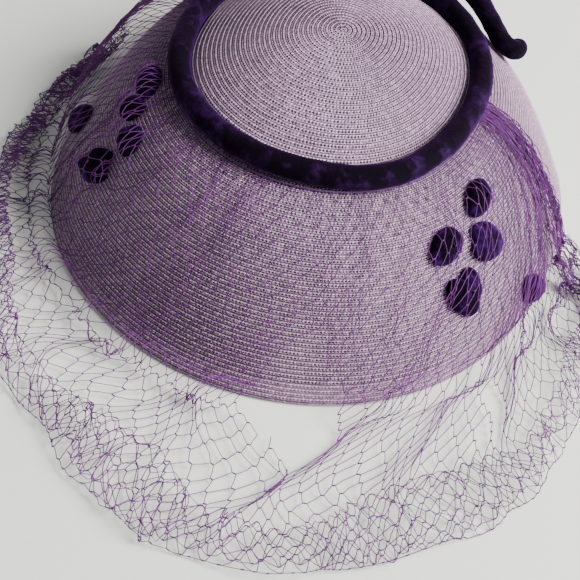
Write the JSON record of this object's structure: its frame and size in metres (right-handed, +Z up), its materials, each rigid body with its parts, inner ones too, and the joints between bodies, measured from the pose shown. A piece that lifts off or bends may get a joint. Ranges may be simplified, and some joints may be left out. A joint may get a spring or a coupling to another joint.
{
  "type": "veiled straw cocktail hat",
  "caption": "Oval mushroom-shaped hat of sewn straw braid with a velvet tube round the crown, velvet spots and a gathered net veil whose front lifts.",
  "frame": {"origin": "on the surface that the hat stands on, under the middle of the whole object's box", "axes": "+Z up through the crown; -Y towards the wearer's front, where the veil lies; +X to the wearer's left"},
  "size_m": [0.3044, 0.4024, 0.09],
  "materials": {
    "straw_braid": "sewn plait, soft sheen",
    "violet_velvet": "cut pile",
    "cotton_wadding": "soft",
    "grosgrain": "ribbed",
    "veil_net": "open knotted net",
    "sewing_thread": "twisted thread",
    "spring_wire": "drawn"
  },
  "bodies": {
    "hat": {"straw_crown": "straw_braid", "straw_brim": "straw_braid", "brim_edge_fold": "straw_braid", "brim_edge_wire": "spring_wire", "head_ribbon": "grosgrain", "velvet_ring": "violet_velvet", "ring_core": "cotton_wadding", "velvet_knot": "violet_velvet", "velvet_tail_right": "violet_velvet", "velvet_tail_left": "violet_velvet", "velvet_spot_left_1": "violet_velvet", "velvet_spot_left_2": "violet_velvet", "velvet_spot_left_3": "violet_velvet", "velvet_spot_left_4": "violet_velvet", "velvet_spot_left_5": "violet_velvet", "velvet_spot_right_1": "violet_velvet", "velvet_spot_right_2": "violet_velvet", "velvet_spot_right_3": "violet_velvet", "velvet_spot_right_4": "violet_velvet", "velvet_spot_right_5": "violet_velvet", "veil_drape": "veil_net", "veil_gather_thread": "sewing_thread"},
    "veil_apron": {"veil_front": "veil_net"}
  },
  "joints": [
    {"name": "veil_lift", "type": "hinge", "parent": "hat", "child": "veil_apron", "pos_m": [0, -0.12067, 0.028], "axis": [-1, 0, 0], "range_deg": [0, 110]}
  ]
}
